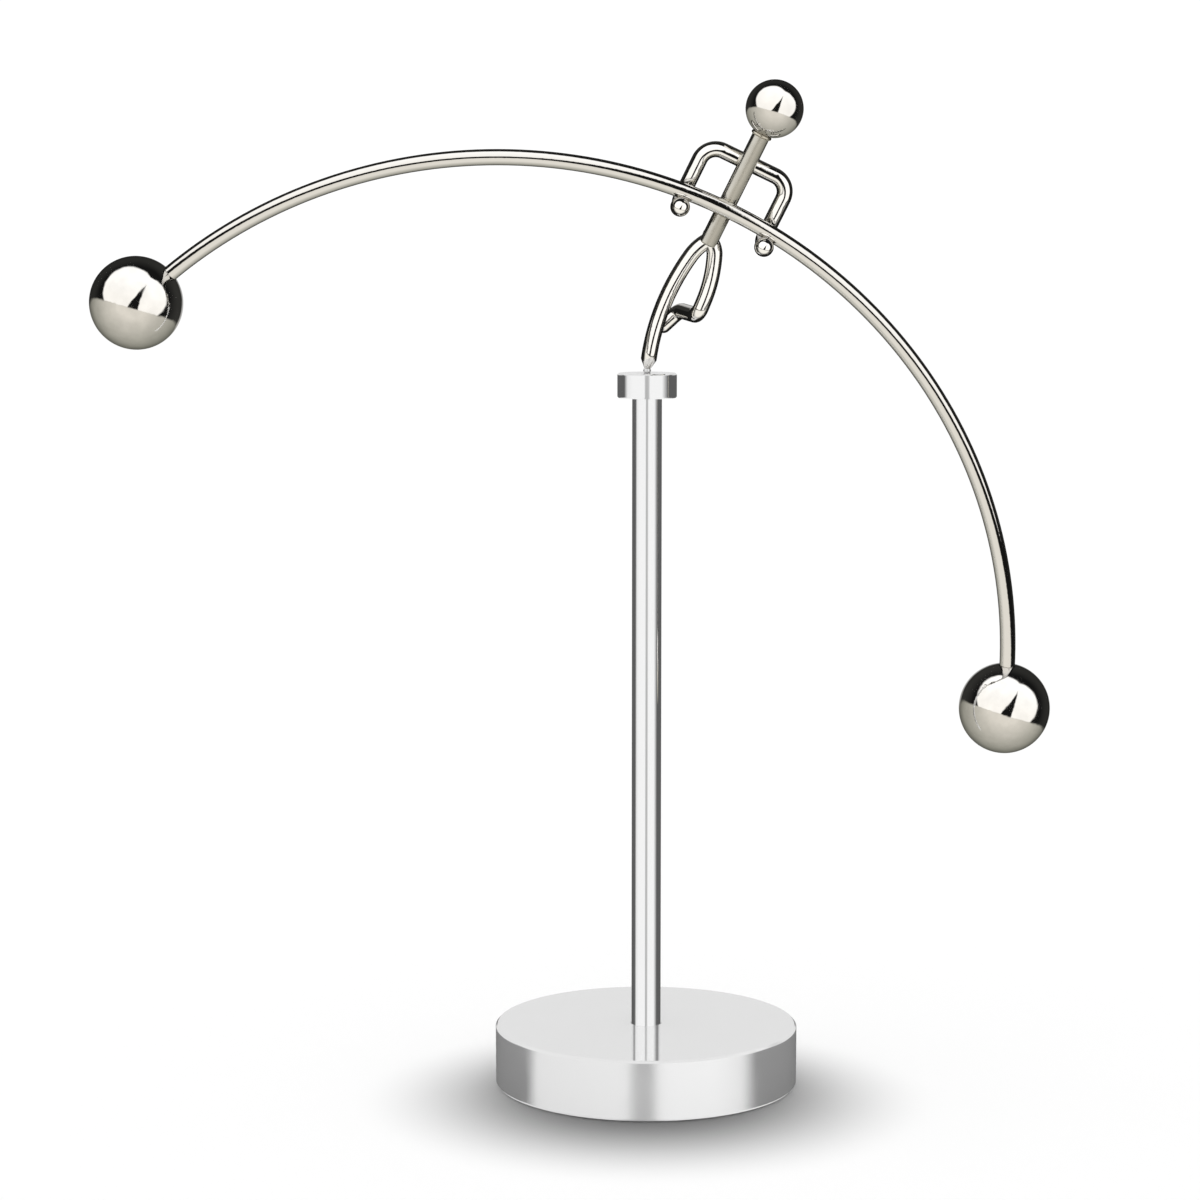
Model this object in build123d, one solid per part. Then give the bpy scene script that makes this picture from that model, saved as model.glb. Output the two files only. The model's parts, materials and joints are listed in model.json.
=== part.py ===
from build123d import *
import math
import os

# Balancing lifter for a desk: a wire figure stands on one toe on top of a post
# and holds a long curved bar with a steel ball at each end.  The balls hang
# below the toe, so the whole figure sways, nods and turns without falling off.
#
# Frame: millimetres, +Z up, +X to the right, +Y away from the front.  The
# origin is the middle of the underside, where the stand meets the table.
# The figure is drawn upright with its toe at the origin, and is then leaned
# sideways and forwards onto the toe ball.

# ---- stand -----------------------------------------------------------------
BASE_DIAMETER = 62.0
BASE_HEIGHT = 12.5            # table to the top face, pad included
BASE_TOP_CHAMFER = 0.5
BASE_FOOT_CHAMFER = 0.4
PAD_INSET = 2.0               # pad edge inside the edge of the base
PAD_THICKNESS = 0.8
PAD_PROUD = 0.3               # how far the pad keeps the metal off the table
POST_DIAMETER = 6.0
POST_LENGTH = 128.8           # between the base and the collar
POST_SOCKET = 4.5             # how far the post is let into the base
SOCKET_FLOOR = 1.6            # metal left between the post and the washer
COLLAR_DIAMETER = 12.0
COLLAR_HEIGHT = 5.0
COLLAR_CHAMFER = 0.25
COLLAR_SOCKET = 2.4           # how far the post is let into the collar

# ---- screw that holds the post to the base -----------------------------------
SCREW_DIAMETER = 3.0
SCREW_HEAD_DIAMETER = 5.5
SCREW_HEAD_HEIGHT = 2.6
SCREW_KEY = 2.5               # across the flats of the hexagon socket
SCREW_KEY_DEPTH = 1.4
SCREW_GRIP = 6.0              # thread inside the post
SCREW_HOLE_GAP = 0.2          # round the thread, in the base and the washer
WASHER_DIAMETER = 7.0
WASHER_THICKNESS = 0.5
WASHER_GAP = 0.25             # round the washer, in its counterbore
TAP_RUNOUT = 1.5              # tapped hole beyond the screw's end

# ---- toe bearing ---------------------------------------------------------------
CUP_DIAMETER = 4.0
CUP_DEPTH = 1.9
TOE_BALL_DIAMETER = 1.6
TOE_HEIGHT = 0.5              # centre of the toe ball over the collar
BEARING_GAP = 0.05            # running clearance all round the cup and the ball

# ---- figure ----------------------------------------------------------------------
WIRE_DIAMETER = 3.2           # arms and legs
TORSO_DIAMETER = 3.6
HEAD_DIAMETER = 11.5
MIDLINE = -0.5                # the figure's middle stands left of its toe
HEAD_LEVEL = 58.3             # centre of the head over the toe
HIP_LEVEL = 29.3              # crown of the legs
TORSO_LAP = 0.9               # torso's end hangs this far below the legs' crown line
TORSO_FORWARD = 0.5           # torso's axis in front of the legs' axis
NECK_SOCKET = 2.5             # torso let into the head
SEAT_DEPTH = 0.4              # saddles filed where two rods cross
TOE_TIP_DIAMETER = 1.25
TOE_TAPER = 2.3               # where the leg is full wire again, from the toe
ANKLE_SPLAY = 18.0            # degrees the leg starts off from upright
STANDING_HIP = 1.9            # where the standing leg's hip bend starts, from the middle
STANDING_HIP_DROP = 4.4       # and below the crown
RAISED_HIP = 2.3              # the same for the raised leg
RAISED_HIP_DROP = 2.3
THIGH_SPLAY = 0.42            # sideways run of the raised thigh for each unit down
KNEE_SPREAD = 4.5             # raised knee from the middle
KNEE_LEVEL = 14.5
KNEE_BEND = 3.2               # end of the straight thigh to the knee's corner
KNEE_RADIUS = 2.24            # bends at the knee and the heel
SHIN_TURN = 2.8               # shin runs this far inwards
SHIN_LENGTH = 9.2             # and this far back
SHIN_DROP = 2.3
FOOT_LENGTH = 4.2             # foot hangs this far
FOOT_TURN = 1.6               # and this far inwards

# ---- arms ------------------------------------------------------------------------
ARM_SPREAD = 18.4             # between the two arms' centre lines
ARMS_SHIFT = 0.6              # the arms sit this far right of the figure's middle
SHOULDER_LEVEL = 46.1
SHOULDER_BEND = 3.5
WRIST_BEND = 2.0
HAND_LIP = 0.35               # how far a hand's bead stands out round the wire
HAND_FORWARD = 2.0            # hand's centre in front of the bar's

# ---- balance bar --------------------------------------------------------------------
BAR_DIAMETER = 3.2
BAR_BEND = 103.6              # radius of the bar's centre line
BAR_TOP_LEVEL = 36.8          # highest point of that line over the toe
SOCKET_ANGLE = 66.2           # from the top of the bend to the middle of each ball's socket
BALL_DIAMETER = 18.7
BALL_SOCKET = 5.0             # bar let into the ball

# ---- braze beads -----------------------------------------------------------------
CHEST_BEAD = 1.9              # radius of each bead where two rods cross
SHOULDER_BEAD = 1.9
HIP_BEAD = 1.75
NECK_BEAD = 0.35              # width of the ring under the head
BEAD_TURN = 35.0              # keeps the seam of each bead's sphere off the rods
BEAD_TILT = 20.0

# ---- how the figure stands --------------------------------------------------------
LEAN = 25.8                   # to the right
NOD = 10.0                    # to the front

# ---- levels and radii that follow --------------------------------------------------
base_radius = BASE_DIAMETER / 2
pad_radius = base_radius - PAD_INSET
post_radius = POST_DIAMETER / 2
post_foot = BASE_HEIGHT - POST_SOCKET
collar_foot = BASE_HEIGHT + POST_LENGTH
collar_top = collar_foot + COLLAR_HEIGHT
screw_radius = SCREW_DIAMETER / 2
wire_radius = WIRE_DIAMETER / 2
hand_radius = wire_radius + HAND_LIP
torso_radius = TORSO_DIAMETER / 2
bar_radius = BAR_DIAMETER / 2
ball_radius = BALL_DIAMETER / 2
head_radius = HEAD_DIAMETER / 2
toe_radius = TOE_BALL_DIAMETER / 2
toe_level = collar_top + TOE_HEIGHT
torso_y = -TORSO_FORWARD
bar_y = torso_y - torso_radius - bar_radius + SEAT_DEPTH
arms_y = torso_y + torso_radius + wire_radius - SEAT_DEPTH
bar_centre_level = BAR_TOP_LEVEL - BAR_BEND
legs_crown = Vector(MIDLINE, 0, HIP_LEVEL)


def standing(figure_part):
    """Leans and nods a piece of the upright figure and sets its toe on the stand."""
    return Pos(0, 0, toe_level) * Rot(X=NOD) * Rot(Y=LEAN) * figure_part


def bored_rod(radius, length):
    """A plain round rod or drill that rises from the origin."""
    return Cylinder(radius, length, align=(Align.CENTER, Align.CENTER, Align.MIN))


def wire_along(path, radius):
    """Round wire whose centre line is the path."""
    return sweep(Plane(path @ 0, z_dir=path % 0) * Circle(radius), path)


# ---- stand pieces ------------------------------------------------------------------
washer_top = post_foot - SOCKET_FLOOR
washer_foot = washer_top - WASHER_THICKNESS
head_foot = washer_foot - SCREW_HEAD_HEIGHT


def base_disc():
    """Turned disc with a socket for the post, a counterbore and a recess for the pad."""
    disc = Pos(0, 0, PAD_PROUD) * bored_rod(base_radius, BASE_HEIGHT - PAD_PROUD)
    disc = chamfer(disc.edges().group_by(Axis.Z)[-1], BASE_TOP_CHAMFER)
    disc = chamfer(disc.edges().group_by(Axis.Z)[0], BASE_FOOT_CHAMFER)
    disc -= bored_rod(pad_radius, PAD_THICKNESS)
    disc -= bored_rod(WASHER_DIAMETER / 2 + WASHER_GAP, washer_top)
    disc -= bored_rod(screw_radius + SCREW_HOLE_GAP, BASE_HEIGHT)
    disc -= Pos(0, 0, post_foot) * bored_rod(post_radius, POST_SOCKET)
    return disc


def base_pad():
    """Foam disc let into the underside, proud of the metal."""
    return bored_rod(pad_radius, PAD_THICKNESS)


def post():
    """Plain rod, tapped at the foot."""
    rod = Pos(0, 0, post_foot) * bored_rod(post_radius, POST_SOCKET + POST_LENGTH + COLLAR_SOCKET)
    return rod - Pos(0, 0, post_foot) * bored_rod(screw_radius, SCREW_GRIP + TAP_RUNOUT)


def base_screw():
    """Socket head screw, driven up from under the base."""
    shank = bored_rod(screw_radius, post_foot + SCREW_GRIP - washer_foot)
    screw = bored_rod(SCREW_HEAD_DIAMETER / 2, SCREW_HEAD_HEIGHT) + Pos(0, 0, SCREW_HEAD_HEIGHT) * shank
    screw -= extrude(RegularPolygon(SCREW_KEY / 2, 6, major_radius=False), SCREW_KEY_DEPTH)
    return Pos(0, 0, head_foot) * screw


def base_washer():
    """Plain washer under the screw's head."""
    ring = bored_rod(WASHER_DIAMETER / 2, WASHER_THICKNESS)
    ring -= bored_rod(screw_radius + SCREW_HOLE_GAP, WASHER_THICKNESS)
    return Pos(0, 0, washer_foot) * ring


def collar():
    """Cap on the post, bored below for the post and above for the bearing cup."""
    cap = bored_rod(COLLAR_DIAMETER / 2, COLLAR_HEIGHT)
    cap = chamfer(cap.edges().filter_by(GeomType.CIRCLE), COLLAR_CHAMFER)
    cap -= bored_rod(post_radius, COLLAR_SOCKET)
    cup_hole_foot = COLLAR_HEIGHT - CUP_DEPTH - BEARING_GAP
    cap -= Pos(0, 0, cup_hole_foot) * bored_rod(CUP_DIAMETER / 2 + BEARING_GAP, CUP_DEPTH + BEARING_GAP)
    return Pos(0, 0, collar_foot) * cap


# ---- toe bearing --------------------------------------------------------------------
def bearing_cup():
    """Hard insert with a round dimple for the toe ball."""
    cup = Pos(0, 0, collar_top - CUP_DEPTH) * bored_rod(CUP_DIAMETER / 2, CUP_DEPTH)
    return cup - Pos(0, 0, toe_level) * Sphere(toe_radius + BEARING_GAP)


def toe_ball():
    """Hard ball that the figure stands on."""
    return Pos(0, 0, toe_level) * Sphere(toe_radius)


# ---- figure, upright with its toe at the origin ------------------------------------------
def leg_taper():
    """The leg's lower end: a cone from half way up the toe ball to the full wire."""
    tip_start = toe_radius / 2
    cone = Pos(0, 0, tip_start) * Cone(
        TOE_TIP_DIAMETER / 2, wire_radius, TOE_TAPER - tip_start,
        align=(Align.CENTER, Align.CENTER, Align.MIN),
    )
    return cone - Sphere(toe_radius + BEARING_GAP)


def standing_leg():
    """Bowed wire from the toe up to the crown of the hips, tapered at the toe."""
    ankle_slope = Vector(-math.sin(math.radians(ANKLE_SPLAY)), 0, math.cos(math.radians(ANKLE_SPLAY)))
    ankle = ankle_slope * TOE_TAPER
    hip = Vector(MIDLINE - STANDING_HIP, 0, HIP_LEVEL - STANDING_HIP_DROP)
    bow = TangentArc(ankle, hip, tangent=ankle_slope)
    bend = TangentArc(hip, legs_crown, tangent=bow % 1)
    foot = Plane(origin=(0, 0, 0), x_dir=(0, 1, 0), z_dir=ankle_slope) * leg_taper()
    return wire_along(Curve() + bow + bend, wire_radius) + foot


def raised_leg():
    """Wire from the crown down the thigh, back along the shin and down to the foot."""
    hip = Vector(MIDLINE + RAISED_HIP, 0, HIP_LEVEL - RAISED_HIP_DROP)
    knee_top = Vector(MIDLINE + KNEE_SPREAD, 0, KNEE_LEVEL + KNEE_BEND)
    bend = TangentArc(hip, legs_crown, tangent=(-THIGH_SPLAY, 0, 1))
    thigh = TangentArc(hip, knee_top, tangent=(THIGH_SPLAY, 0, -1))
    knee = knee_top + (thigh % 1) * KNEE_BEND
    heel = knee + Vector(-SHIN_TURN, SHIN_LENGTH, -SHIN_DROP)
    toes = heel + Vector(-FOOT_TURN, 0, -FOOT_LENGTH)
    shin = FilletPolyline(knee_top, knee, heel, toes, radius=[KNEE_RADIUS, KNEE_RADIUS])
    path = Curve() + bend + thigh + shin
    return wire_along(path, wire_radius) + Pos(toes) * Sphere(wire_radius)


def arms():
    """One wire: a hook under the bar at each end, and the shoulders between them."""
    reach = ARM_SPREAD / 2
    left = MIDLINE + ARMS_SHIFT - reach
    right = MIDLINE + ARMS_SHIFT + reach
    hook = hook_level()
    front = bar_y - HAND_FORWARD
    path = FilletPolyline(
        (left, front, hook), (left, arms_y, hook), (left, arms_y, SHOULDER_LEVEL),
        (right, arms_y, SHOULDER_LEVEL), (right, arms_y, hook), (right, front, hook),
        radius=[WRIST_BEND, SHOULDER_BEND, SHOULDER_BEND, WRIST_BEND],
    )
    return wire_along(path, wire_radius)


def bar_level(across):
    """Height of the bar's centre line at a distance from its middle."""
    return bar_centre_level + math.sqrt(BAR_BEND**2 - across**2)


def hook_level():
    """Height of the hooks' centre line, just under the bar."""
    return bar_level(ARM_SPREAD / 2) - bar_radius - wire_radius + SEAT_DEPTH


def torso_rod():
    """Straight rod from in front of the hips up into the head."""
    foot = HIP_LEVEL - TORSO_LAP
    top = HEAD_LEVEL - head_radius + NECK_SOCKET
    return Pos(MIDLINE, torso_y, foot) * bored_rod(torso_radius, top - foot)


def balance_bar():
    """Round bar bent to one radius, whose ends stop inside the balls."""
    half_sweep = SOCKET_ANGLE + math.degrees(BALL_SOCKET / 2 / BAR_BEND)
    plane = Plane(origin=(MIDLINE, bar_y, bar_centre_level), x_dir=(1, 0, 0), z_dir=(0, -1, 0))
    path = plane * CenterArc((0, 0), BAR_BEND, 90 - half_sweep, 2 * half_sweep)
    return wire_along(path, bar_radius)


def end_ball(side, bar):
    """Ball with a blind hole that takes the end of the bar."""
    bend_centre = Pos(MIDLINE, bar_y, bar_centre_level)
    socket_middle = bend_centre * Rot(Y=side * SOCKET_ANGLE) * Pos(0, 0, BAR_BEND)
    along_bar = socket_middle * Rot(Y=side * 90)
    return along_bar * Pos(0, 0, ball_radius - BALL_SOCKET / 2) * Sphere(ball_radius) - bar


def head():
    """Ball with a blind hole that takes the top of the torso."""
    ball = Pos(MIDLINE, torso_y, HEAD_LEVEL) * Sphere(head_radius)
    return ball - torso_rod()


def bead(spot, radius, *rods):
    """Ball of braze round a joint, without the rods that it holds."""
    ball = spot * Rot(X=BEAD_TURN, Y=BEAD_TILT) * Sphere(radius)
    for rod in rods:
        ball -= rod
    return ball


def hand(side, *rods):
    """Bead on the end of the hook, pressed against the bar."""
    spot = Pos(MIDLINE + ARMS_SHIFT + side * ARM_SPREAD / 2, bar_y - HAND_FORWARD, hook_level())
    return bead(spot, hand_radius, *rods)


def neck_bead(*rods):
    """Thin ring of braze where the torso enters the head."""
    ring = Pos(MIDLINE, torso_y, HEAD_LEVEL - head_radius) * Torus(torso_radius, NECK_BEAD)
    for rod in rods:
        ring -= rod
    return ring


def write(node, solid):
    """Saves one piece under its node's name."""
    solid.label = node
    export_step(solid, f"parts/{node}.step")


def main():
    os.makedirs("parts", exist_ok=True)
    stand = {
        "base_disc": base_disc(),
        "base_pad": base_pad(),
        "base_screw": base_screw(),
        "base_washer": base_washer(),
        "post": post(),
        "collar": collar(),
        "bearing_cup": bearing_cup(),
        "toe_ball": toe_ball(),
    }
    for node, solid in stand.items():
        write(node, solid)

    left_leg = standing_leg()
    right_leg = raised_leg() - left_leg
    bar = balance_bar()
    shoulders = arms() - bar
    torso = torso_rod() - left_leg - right_leg - bar - shoulders
    skull = head()
    chest_spot = Pos(MIDLINE, torso_y - torso_radius, BAR_TOP_LEVEL)
    back_spot = Pos(MIDLINE, torso_y + torso_radius, SHOULDER_LEVEL)
    hip_spot = Pos(MIDLINE, torso_radius / 2, HIP_LEVEL + wire_radius / 2)
    figure = {
        "standing_leg": left_leg,
        "raised_leg": right_leg,
        "torso": torso,
        "head": skull,
        "arms": shoulders,
        "left_hand": hand(-1, shoulders, bar),
        "right_hand": hand(1, shoulders, bar),
        "balance_bar": bar,
        "left_ball": end_ball(-1, bar),
        "right_ball": end_ball(1, bar),
        "chest_bead": bead(chest_spot, CHEST_BEAD, bar, torso),
        "shoulder_bead": bead(back_spot, SHOULDER_BEAD, shoulders, torso),
        "hip_bead": bead(hip_spot, HIP_BEAD, left_leg, right_leg, torso),
        "neck_bead": neck_bead(skull, torso),
    }
    for node, solid in figure.items():
        write(node, standing(solid))


if __name__ == "__main__":
    main()
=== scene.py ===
"""Looks of a balancing lifter for a desk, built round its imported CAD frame."""

import json
import math

import bpy
from mathutils import Matrix, Vector

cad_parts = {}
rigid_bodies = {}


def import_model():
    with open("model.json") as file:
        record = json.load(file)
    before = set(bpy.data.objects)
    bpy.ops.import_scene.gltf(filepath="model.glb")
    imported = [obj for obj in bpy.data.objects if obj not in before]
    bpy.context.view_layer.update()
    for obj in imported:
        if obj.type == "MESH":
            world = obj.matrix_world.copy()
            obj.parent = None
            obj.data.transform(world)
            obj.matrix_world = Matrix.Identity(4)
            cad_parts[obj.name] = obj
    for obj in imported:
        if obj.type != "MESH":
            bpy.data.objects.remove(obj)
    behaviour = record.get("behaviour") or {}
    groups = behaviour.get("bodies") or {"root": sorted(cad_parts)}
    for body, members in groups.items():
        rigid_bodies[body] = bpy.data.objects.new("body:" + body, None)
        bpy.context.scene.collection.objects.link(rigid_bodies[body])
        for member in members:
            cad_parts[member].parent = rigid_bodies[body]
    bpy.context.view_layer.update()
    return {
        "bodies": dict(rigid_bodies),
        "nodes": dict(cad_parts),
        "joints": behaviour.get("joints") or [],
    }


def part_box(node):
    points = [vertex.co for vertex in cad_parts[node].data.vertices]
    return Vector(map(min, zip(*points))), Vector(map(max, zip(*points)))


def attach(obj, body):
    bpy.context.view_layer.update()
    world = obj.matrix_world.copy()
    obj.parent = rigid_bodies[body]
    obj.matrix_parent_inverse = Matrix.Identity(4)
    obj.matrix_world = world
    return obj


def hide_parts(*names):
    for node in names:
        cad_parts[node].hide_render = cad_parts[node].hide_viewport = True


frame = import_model()

bl_info = {
    "name": "Balancing lifter",
    "version": (1, 0, 0),
    "blender": (4, 5, 0),
    "location": "3D View > Sidebar > Lifter",
    "description": "Models the polished pieces and the studio of a balancing desk lifter",
    "category": "Object",
}

MM = 0.001
UP = Vector((0, 0, 1))
RIGHT = Vector((1, 0, 0))
BACK = Vector((0, 1, 0))

# Points nearer than this are one point. Edges sharper than SHARP stay sharp in the shading of
# a plain piece, edges sharper than ROUND_FROM are rounded, and a rounded piece is smooth up to
# ROUNDED.
WELD = 0.001 * MM
SHARP = math.radians(35)
ROUND_FROM = math.radians(25)
ROUNDED = math.radians(60)

# The hollow over the toe ball, as shares of its radius: how deep and how wide its flat middle
# is, and how wide its rings are.
HOLLOW_DEPTH = 0.98
HOLLOW_FLAT = 0.2
HOLLOW_RINGS = (0.45, 0.7, 0.8)

# Radius of the holes in the balls and the head, as shares of their rods' radius.
BALL_FIT = 1.03
HEAD_FIT = 1.02


# ---- properties -----------------------------------------------------------------
def length(name, description, millimetres):
    """A length property whose default is given in millimetres."""
    return bpy.props.FloatProperty(
        name=name, description=description, default=millimetres * MM, unit="LENGTH", precision=6
    )


def angle(name, description, degrees):
    """An angle property whose default is given in degrees."""
    return bpy.props.FloatProperty(
        name=name, description=description, default=math.radians(degrees), subtype="ANGLE"
    )


def linear(hex_colour):
    """An sRGB hex colour as linear red, green and blue."""
    parts = [int(hex_colour[i : i + 2], 16) / 255 for i in (1, 3, 5)]
    return [c / 12.92 if c <= 0.04045 else ((c + 0.055) / 1.055) ** 2.4 for c in parts]


def colour(name, description, hex_colour):
    """A colour property whose default is given as sRGB hex."""
    return bpy.props.FloatVectorProperty(
        name=name, description=description, default=linear(hex_colour), subtype="COLOR",
        min=0, max=1,
    )


class StandSizes(bpy.types.PropertyGroup):
    """Edges and bores of the turned stand. Its outer sizes come from the frame."""

    top_chamfer: length("Top chamfer", "Chamfer round the top of the base", 0.5)
    foot_chamfer: length("Foot chamfer", "Chamfer round the foot of the base", 0.4)
    pad_gap: length("Pad gap", "Gap round the foam pad in its recess", 0.05)
    mouth: length("Mouth", "Chamfer at the mouth of each bore", 0.22)
    fit: length("Fit", "Gap round the post in its two sockets", 0.03)
    cap_chamfer: length("Cap chamfer", "Chamfers of the cap on the post", 0.25)
    cup_bore: length("Cup bore", "Radius of the hole for the bearing cup", 2.05)
    tapped_bore: length("Tapped bore", "Radius of the tapped hole in the post", 1.5)
    tapped_depth: length("Tapped depth", "Depth of that hole", 7.5)
    edge_round: length("Edge round", "Polishing round on every turned edge", 0.09)


class FigureSizes(bpy.types.PropertyGroup):
    """The wire figure, upright with its toe at the origin."""

    wire: length("Wire", "Radius of the legs' and arms' wire", 1.6)
    torso: length("Torso", "Radius of the torso", 1.8)
    midline: length("Midline", "Middle of the figure, from the toe", -0.5)
    head_level: length("Head level", "Centre of the head over the toe", 58.3)
    head: length("Head", "Radius of the head", 5.75)
    hip_level: length("Hip level", "Crown of the legs over the toe", 29.3)
    torso_lap: length("Torso lap", "Torso's end under the crown of the legs", 0.9)
    torso_forward: length("Torso forward", "Torso in front of the legs", 0.5)
    torso_ease: length("Torso ease", "Chamfer on each end of the torso", 0.225)
    torso_round: length("Torso round", "Polishing round on its edges", 0.075)
    neck: length("Neck socket", "Torso let into the head", 2.5)
    seat: length("Seat", "Depth of the saddle where two rods cross", 0.4)
    ankle: length("Ankle", "Where the leg is full wire, from the toe", 2.3)
    toe_gap: length("Toe gap", "Radius of the hollow over the toe ball", 0.85)
    ankle_splay: angle("Ankle splay", "How far the leg starts off from upright", 18)
    hip_out: length("Hip", "Start of the standing leg's hip bend, from the middle", 1.9)
    hip_drop: length("Hip drop", "The same bend under the crown", 4.4)
    thigh_out: length("Thigh", "Start of the raised leg's hip bend, from the middle", 2.3)
    thigh_drop: length("Thigh drop", "The same bend under the crown", 2.3)
    thigh_splay: bpy.props.FloatProperty(
        name="Thigh splay", description="Sideways run of the thigh for each unit down", default=0.42
    )
    knee_out: length("Knee", "Raised knee from the middle", 4.5)
    knee_level: length("Knee level", "Corner of the raised knee", 14.5)
    knee_bend: length("Knee bend", "End of the thigh over the knee's corner", 3.2)
    knee_radius: length("Knee radius", "Bends at the knee and the heel", 2.24)
    shin: bpy.props.FloatVectorProperty(
        name="Shin", description="From the knee to the heel", unit="LENGTH",
        default=(-2.8 * MM, 9.2 * MM, -2.3 * MM),
    )
    foot: bpy.props.FloatVectorProperty(
        name="Foot", description="From the heel to the toes", unit="LENGTH",
        default=(-1.6 * MM, 0, -4.2 * MM),
    )
    arm_reach: length("Arm reach", "Each arm from the middle of the arms", 9.2)
    arms_shift: length("Arms shift", "Middle of the arms right of the figure's middle", 0.6)
    shoulder_level: length("Shoulder level", "Centre line of the shoulders", 46.1)
    shoulder_bend: length("Shoulder bend", "Bend at each shoulder", 3.5)
    wrist_bend: length("Wrist bend", "Bend where an arm hooks under the bar", 2.0)
    hand: length("Hand", "Radius of the bead on each hook", 1.95)
    hand_socket: length("Hand socket", "Hook let into its bead", 0.65)
    hand_mouth: length("Hand mouth", "Chamfer round a bead's hole", 0.06)
    hand_forward: length("Hand forward", "Hand's centre in front of the bar's", 2.0)
    lean: angle("Lean", "How far the figure leans to the right", 25.8)
    nod: angle("Nod", "How far the figure leans to the front", 10)


class BarSizes(bpy.types.PropertyGroup):
    """The balance bar and the balls on its ends."""

    bar: length("Bar", "Radius of the bar", 1.6)
    bend: length("Bend", "Radius of the bar's centre line", 103.6)
    top_level: length("Top level", "Highest point of that line over the toe", 36.8)
    socket_angle: angle("Socket angle", "From the top of the bend to a ball's socket", 66.2)
    ball: length("Ball", "Radius of each ball", 9.35)
    socket: length("Socket", "Bar let into a ball", 5.0)
    mouth: length("Mouth", "Chamfer round a drilled ball's hole", 0.12)


class FinishColours(bpy.types.PropertyGroup):
    """Base colours of the finishes."""

    chrome: colour("Chrome", "Bright plating on the figure, the bar and the balls", "#f2f0ec")
    satin: colour("Satin steel", "Satin torso", "#c4c2ba")
    stainless: colour("Stainless", "Turned and polished stand", "#f4f4f4")
    bearing: colour("Bearing steel", "Hardened cup and toe ball", "#e6e6e6")
    fastener: colour("Fastener", "Zinc plated screw and washer", "#b9bcc0")
    braze: colour("Braze", "Silver braze at the joints", "#cdc8bb")
    foam: colour("Foam", "Pad under the base", "#26272a")
    floor: colour("Floor", "Floor of the studio", "#fafafa")


# ---- modelling in edit mode --------------------------------------------------------
def start_piece(name):
    """Names the primitive that was just added and takes it into edit mode at the origin."""
    piece = bpy.context.object
    piece.name = piece.data.name = name
    bpy.ops.object.transform_apply(location=True, rotation=True, scale=True)
    bpy.ops.object.mode_set(mode="EDIT")
    return piece


def close_piece(piece):
    """Leaves edit mode with one clean outward shell that is smooth up to its edges."""
    bpy.ops.mesh.select_all(action="SELECT")
    bpy.ops.mesh.remove_doubles(threshold=WELD)
    bpy.ops.mesh.normals_make_consistent(inside=False)
    bpy.ops.object.mode_set(mode="OBJECT")
    bpy.ops.object.shade_smooth_by_angle(angle=SHARP)
    return piece


def soften(piece, width):
    """A polished round of a width on every edge that the turning left sharp."""
    bpy.ops.object.modifier_add(type="BEVEL")
    bevel = piece.modifiers[-1]
    bevel.width = width
    bevel.segments = 3
    bevel.limit_method = "ANGLE"
    bevel.angle_limit = ROUND_FROM
    bpy.ops.object.modifier_apply(modifier=bevel.name)
    bpy.ops.object.shade_smooth_by_angle(angle=ROUNDED)


class Wire:
    """A round wire or a turned piece that is drawn from its end face, one move at a time."""

    def __init__(self, name, start, heading, radius, sides=32):
        bpy.ops.object.select_all(action="DESELECT")
        self.end, self.heading, self.radius = Vector(start), Vector(heading).normalized(), radius
        turn = self.heading.to_track_quat("Z", "Y").to_euler()
        bpy.ops.mesh.primitive_circle_add(
            vertices=sides, radius=radius, fill_type="NGON", location=self.end, rotation=turn
        )
        self.piece = start_piece(name)

    def run(self, distance):
        """Straight on."""
        self.taper(distance, self.radius)

    def taper(self, distance, radius):
        """Straight on, or back, to a face of another radius."""
        step = self.heading * distance
        bpy.ops.mesh.extrude_region_move(TRANSFORM_OT_translate={"value": step})
        self.end += step
        if radius != self.radius:
            size = radius / self.radius
            bpy.ops.transform.resize(value=(size, size, size), center_override=self.end)
            self.radius = radius

    def bend(self, centre, axis, turn, step_degrees=5):
        """Round a centre by an angle."""
        steps = max(3, math.ceil(math.degrees(turn) / step_degrees))
        bpy.ops.mesh.spin(steps=steps, angle=-turn, center=centre, axis=axis)
        spin = Matrix.Rotation(turn, 3, axis)
        self.end = centre + spin @ (self.end - centre)
        self.heading = (spin @ self.heading).normalized()

    def arc_to(self, goal, step_degrees=5):
        """The one arc that leaves along the wire and ends at the goal."""
        chord = goal - self.end
        half_turn = self.heading.angle(chord)
        axis = self.heading.cross(chord).normalized()
        bend_radius = chord.length / (2 * math.sin(half_turn))
        centre = self.end + axis.cross(self.heading) * bend_radius
        self.bend(centre, axis, 2 * half_turn, step_degrees)

    def corner(self, corner, after, bend_radius):
        """Straight to a corner and round it, towards the point after it."""
        leaving = (after - corner).normalized()
        turn = self.heading.angle(leaving)
        self.run((corner - self.end).length - bend_radius * math.tan(turn / 2))
        axis = self.heading.cross(leaving).normalized()
        self.bend(self.end + axis.cross(self.heading) * bend_radius, axis, turn)

    def round_end(self, rings=8):
        """A half ball on the end."""
        full, done = self.radius, 0
        for ring in range(1, rings):
            rise = full * math.sin(ring / rings * math.pi / 2)
            self.taper(rise - done, full * math.cos(ring / rings * math.pi / 2))
            done = rise
        bpy.ops.mesh.extrude_region_move(
            TRANSFORM_OT_translate={"value": self.heading * (full - done)}
        )
        bpy.ops.mesh.merge(type="CENTER")

    def follow(self, outline):
        """Turned outline of (radius, level) pairs, on an upright piece."""
        for radius, level in outline:
            self.taper(level - self.end.z, radius)

    def close(self):
        """The finished piece."""
        return close_piece(self.piece)


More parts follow.
